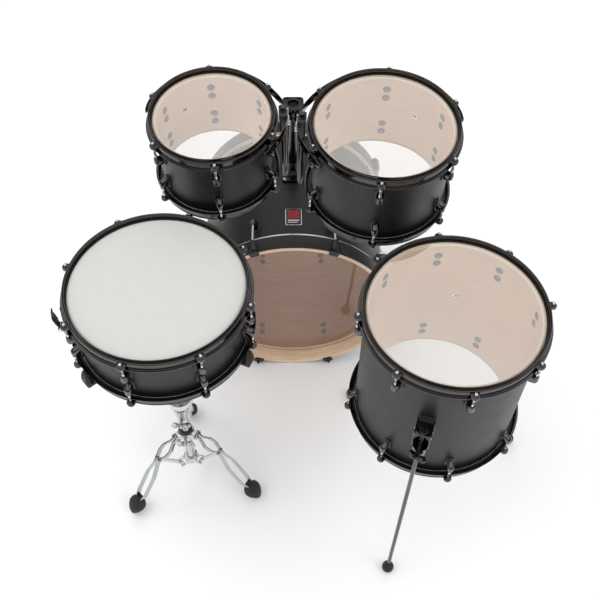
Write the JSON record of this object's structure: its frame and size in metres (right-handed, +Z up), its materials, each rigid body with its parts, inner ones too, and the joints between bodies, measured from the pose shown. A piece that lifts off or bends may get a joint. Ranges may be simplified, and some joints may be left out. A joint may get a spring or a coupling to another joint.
{
  "type": "acoustic drum kit",
  "caption": "Acoustic drum kit: lying bass drum with spurs, rack toms hung from a holder post, legged floor tom, and a snare drum in a folding tripod stand.",
  "frame": {"origin": "middle of the whole kit's box, at floor level", "axes": "+Z up, -Y towards the drummer's side, +X to the drummer's right"},
  "size_m": [1.1238, 1.1382, 0.991],
  "materials": {
    "shell": "matt black wrap outside, clear maple inside",
    "clear_film": "clear polyester film",
    "coated_film": "white coated polyester film",
    "maple": "clear maple faces with a matt black outside",
    "dark_chrome": "black nickel plate",
    "chrome": "bright chrome plate",
    "black": "satin black",
    "steel_wire": "bright wire"
  },
  "bodies": {
    "kit_base": {"bass_shell": "shell", "bass_batter_head": "clear_film", "bass_front_head": "clear_film", "bass_batter_hoop": "maple", "bass_front_hoop": "maple", "spur_left_bracket": "black", "spur_right_bracket": "black", "holder_base": "dark_chrome"},
    "spur_left": {"spur_left": "dark_chrome"},
    "spur_right": {"spur_right": "dark_chrome"},
    "holder_wing_bolt": {"holder_wing_bolt": "dark_chrome"},
    "holder_post": {"holder_post": "dark_chrome", "holder_clamp": "dark_chrome"},
    "small_tom_arm": {"small_tom_arm": "dark_chrome"},
    "large_tom_arm": {"large_tom_arm": "dark_chrome"},
    "small_tom": {"small_tom_shell": "shell", "small_tom_batter_head": "clear_film", "small_tom_resonant_head": "clear_film", "small_tom_batter_hoop": "dark_chrome", "small_tom_resonant_hoop": "dark_chrome", "small_tom_suspension": "dark_chrome"},
    "large_tom": {"large_tom_shell": "shell", "large_tom_batter_head": "clear_film", "large_tom_resonant_head": "clear_film", "large_tom_batter_hoop": "dark_chrome", "large_tom_resonant_hoop": "dark_chrome", "large_tom_suspension": "dark_chrome"},
    "floor_tom": {"floor_tom_shell": "shell", "floor_tom_batter_head": "clear_film", "floor_tom_resonant_head": "clear_film", "floor_tom_batter_hoop": "dark_chrome", "floor_tom_resonant_hoop": "dark_chrome"},
    "snare_stand": {"stand_base_tube": "chrome"},
    "stand_leg_hub": {"stand_leg_hub": "chrome"},
    "stand_hub_wing_bolt": {"stand_hub_wing_bolt": "chrome"},
    "stand_height_wing_bolt": {"stand_height_wing_bolt": "chrome"},
    "stand_upper_tube": {"stand_upper_tube": "chrome"},
    "stand_basket": {"stand_basket": "chrome"},
    "snare_drum": {"snare_shell": "shell", "snare_batter_head": "coated_film", "snare_resonant_head": "clear_film", "snare_batter_hoop": "dark_chrome", "snare_resonant_hoop": "dark_chrome", "strainer_body": "dark_chrome", "butt_plate": "dark_chrome"},
    "strainer_lever": {"strainer_lever": "black"},
    "strainer_knob": {"strainer_knob": "chrome"},
    "snare_wires": {"snare_wires": "steel_wire"},
    "floor_tom_leg_1": {"floor_tom_leg_1": "dark_chrome"},
    "floor_tom_wing_bolt_1": {"floor_tom_wing_bolt_1": "dark_chrome"},
    "stand_leg_1": {"stand_leg_1": "chrome"},
    "stand_strut_1": {"stand_strut_1": "chrome"},
    "floor_tom_leg_2": {"floor_tom_leg_2": "dark_chrome"},
    "floor_tom_wing_bolt_2": {"floor_tom_wing_bolt_2": "dark_chrome"},
    "stand_leg_2": {"stand_leg_2": "chrome"},
    "stand_strut_2": {"stand_strut_2": "chrome"},
    "floor_tom_leg_3": {"floor_tom_leg_3": "dark_chrome"},
    "floor_tom_wing_bolt_3": {"floor_tom_wing_bolt_3": "dark_chrome"},
    "stand_leg_3": {"stand_leg_3": "chrome"},
    "stand_strut_3": {"stand_strut_3": "chrome"}
  },
  "joints": [
    {"name": "spur_right_fold", "type": "hinge", "parent": "kit_base", "child": "spur_right", "pos_m": [0.19573, 0.37971, 0.17587], "axis": [0.9397, 0, -0.342], "range_deg": [0, 75]},
    {"name": "spur_left_fold", "type": "hinge", "parent": "kit_base", "child": "spur_left", "pos_m": [-0.31603, 0.37971, 0.17587], "axis": [0.9397, 0, 0.342], "range_deg": [0, 75]},
    {"name": "holder_bolt_turn", "type": "hinge", "parent": "kit_base", "child": "holder_wing_bolt", "pos_m": [-0.06015, 0.34241, 0.553], "axis": [0, -1, 0], "continuous": true},
    {"name": "tom_height", "type": "slide", "parent": "kit_base", "child": "holder_post", "axis": [0, 0, 1], "range_m": [-0.07, 0.03]},
    {"name": "small_arm_tilt", "type": "hinge", "parent": "holder_post", "child": "small_tom_arm", "pos_m": [-0.07295, 0.32821, 0.745], "axis": [1, 0, 0], "range_deg": [-8, 1]},
    {"name": "large_arm_tilt", "type": "hinge", "parent": "holder_post", "child": "large_tom_arm", "pos_m": [-0.04735, 0.32821, 0.745], "axis": [1, 0, 0], "range_deg": [-8, 2]},
    {"name": "small_tom_swivel", "type": "hinge", "parent": "small_tom_arm", "child": "small_tom", "pos_m": [-0.08635, 0.09901, 0.97095], "axis": [-0.0199, -0.0886, 0.9959], "range_deg": [-8, 2]},
    {"name": "large_tom_swivel", "type": "hinge", "parent": "large_tom_arm", "child": "large_tom", "pos_m": [-0.04501, 0.07917, 0.97031], "axis": [0.011, -0.0639, 0.9979], "range_deg": [-2, 8]},
    {"name": "floor_tom_place", "type": "slide", "parent": "kit_base", "child": "floor_tom", "axis": [0.7071, -0.7071, 0], "range_m": [0, 0.3]},
    {"name": "snare_stand_place", "type": "slide", "parent": "kit_base", "child": "snare_stand", "axis": [-0.7071, -0.7071, 0], "range_m": [0, 0.3]},
    {"name": "stand_fold", "type": "slide", "parent": "snare_stand", "child": "stand_leg_hub", "axis": [0, 0, 1], "range_m": [0, 0.0374]},
    {"name": "hub_bolt_turn", "type": "hinge", "parent": "stand_leg_hub", "child": "stand_hub_wing_bolt", "pos_m": [-0.33991, -0.29483, 0.235], "axis": [0, -1, 0], "continuous": true},
    {"name": "height_bolt_turn", "type": "hinge", "parent": "snare_stand", "child": "stand_height_wing_bolt", "pos_m": [-0.33991, -0.29733, 0.338], "axis": [0, -1, 0], "continuous": true},
    {"name": "stand_height", "type": "slide", "parent": "snare_stand", "child": "stand_upper_tube", "axis": [0, 0, 1], "range_m": [-0.1, 0.06]},
    {"name": "basket_tilt", "type": "hinge", "parent": "stand_upper_tube", "child": "stand_basket", "pos_m": [-0.33991, -0.27403, 0.5913], "axis": [1, 0, 0], "range_deg": [0, 18]},
    {"name": "snare_lift_off", "type": "slide", "parent": "stand_basket", "child": "snare_drum", "axis": [0, 0, 1], "range_m": [0, 0.15]},
    {"name": "throw_off", "type": "hinge", "parent": "snare_drum", "child": "strainer_lever", "pos_m": [-0.54878, -0.2993, 0.741], "axis": [0.1201, -0.9928, 0], "range_deg": [0, 92]},
    {"name": "wires_drop", "type": "slide", "parent": "snare_drum", "child": "snare_wires", "axis": [0, 0, -1], "range_m": [0, 0.003]},
    {"name": "wire_tension_turn", "type": "hinge", "parent": "snare_drum", "child": "strainer_knob", "pos_m": [-0.52992, -0.29702, 0.793], "axis": [0, 0, 1], "continuous": true},
    {"name": "leg_1_height", "type": "slide", "parent": "floor_tom", "child": "floor_tom_leg_1", "axis": [0, 0, 1], "range_m": [0, 0.08]},
    {"name": "leg_bolt_1_turn", "type": "hinge", "parent": "floor_tom", "child": "floor_tom_wing_bolt_1", "pos_m": [0.18069, -0.53928, 0.638], "axis": [-0.3272, -0.9449, 0], "continuous": true},
    {"name": "leg_2_height", "type": "slide", "parent": "floor_tom", "child": "floor_tom_leg_2", "axis": [0, 0, 1], "range_m": [0, 0.08]},
    {"name": "leg_bolt_2_turn", "type": "hinge", "parent": "floor_tom", "child": "floor_tom_wing_bolt_2", "pos_m": [0.44825, -0.23792, 0.638], "axis": [0.8996, 0.4368, 0], "continuous": true},
    {"name": "leg_3_height", "type": "slide", "parent": "floor_tom", "child": "floor_tom_leg_3", "axis": [0, 0, 1], "range_m": [0, 0.08]},
    {"name": "leg_bolt_3_turn", "type": "hinge", "parent": "floor_tom", "child": "floor_tom_wing_bolt_3", "pos_m": [0.15679, -0.13699, 0.638], "axis": [-0.4368, 0.8996, 0], "continuous": true},
    {"name": "stand_leg_1_fold", "type": "hinge", "parent": "stand_leg_hub", "child": "stand_leg_1", "pos_m": [-0.36393, -0.292, 0.235], "axis": [0.599, -0.8007, 0], "range_deg": [0, 30.5]},
    {"name": "stand_strut_1_fold", "type": "hinge", "parent": "snare_stand", "child": "stand_strut_1", "pos_m": [-0.36393, -0.292, 0.095], "axis": [-0.599, 0.8007, 0], "range_deg": [0, 17.57]},
    {"name": "stand_leg_2_fold", "type": "hinge", "parent": "stand_leg_hub", "child": "stand_leg_2", "pos_m": [-0.31233, -0.28585, 0.235], "axis": [0.3939, 0.9191, 0], "range_deg": [0, 30.5]},
    {"name": "stand_strut_2_fold", "type": "hinge", "parent": "snare_stand", "child": "stand_strut_2", "pos_m": [-0.31233, -0.28585, 0.095], "axis": [-0.3939, -0.9191, 0], "range_deg": [0, 17.57]},
    {"name": "stand_leg_3_fold", "type": "hinge", "parent": "stand_leg_hub", "child": "stand_leg_3", "pos_m": [-0.34346, -0.24424, 0.235], "axis": [-0.993, -0.1184, 0], "range_deg": [0, 30.5]},
    {"name": "stand_strut_3_fold", "type": "hinge", "parent": "snare_stand", "child": "stand_strut_3", "pos_m": [-0.34346, -0.24424, 0.095], "axis": [0.993, 0.1184, 0], "range_deg": [0, 17.57]}
  ],
  "couplings": [
    {"joint": "throw_off", "follows": "wires_drop", "rad_per_m": 520},
    {"joint": "stand_leg_1_fold", "follows": "stand_fold", "rad_per_m": 14},
    {"joint": "stand_strut_1_fold", "follows": "stand_fold", "rad_per_m": 7.968},
    {"joint": "stand_leg_2_fold", "follows": "stand_fold", "rad_per_m": 14},
    {"joint": "stand_strut_2_fold", "follows": "stand_fold", "rad_per_m": 7.968},
    {"joint": "stand_leg_3_fold", "follows": "stand_fold", "rad_per_m": 14},
    {"joint": "stand_strut_3_fold", "follows": "stand_fold", "rad_per_m": 7.968}
  ]
}
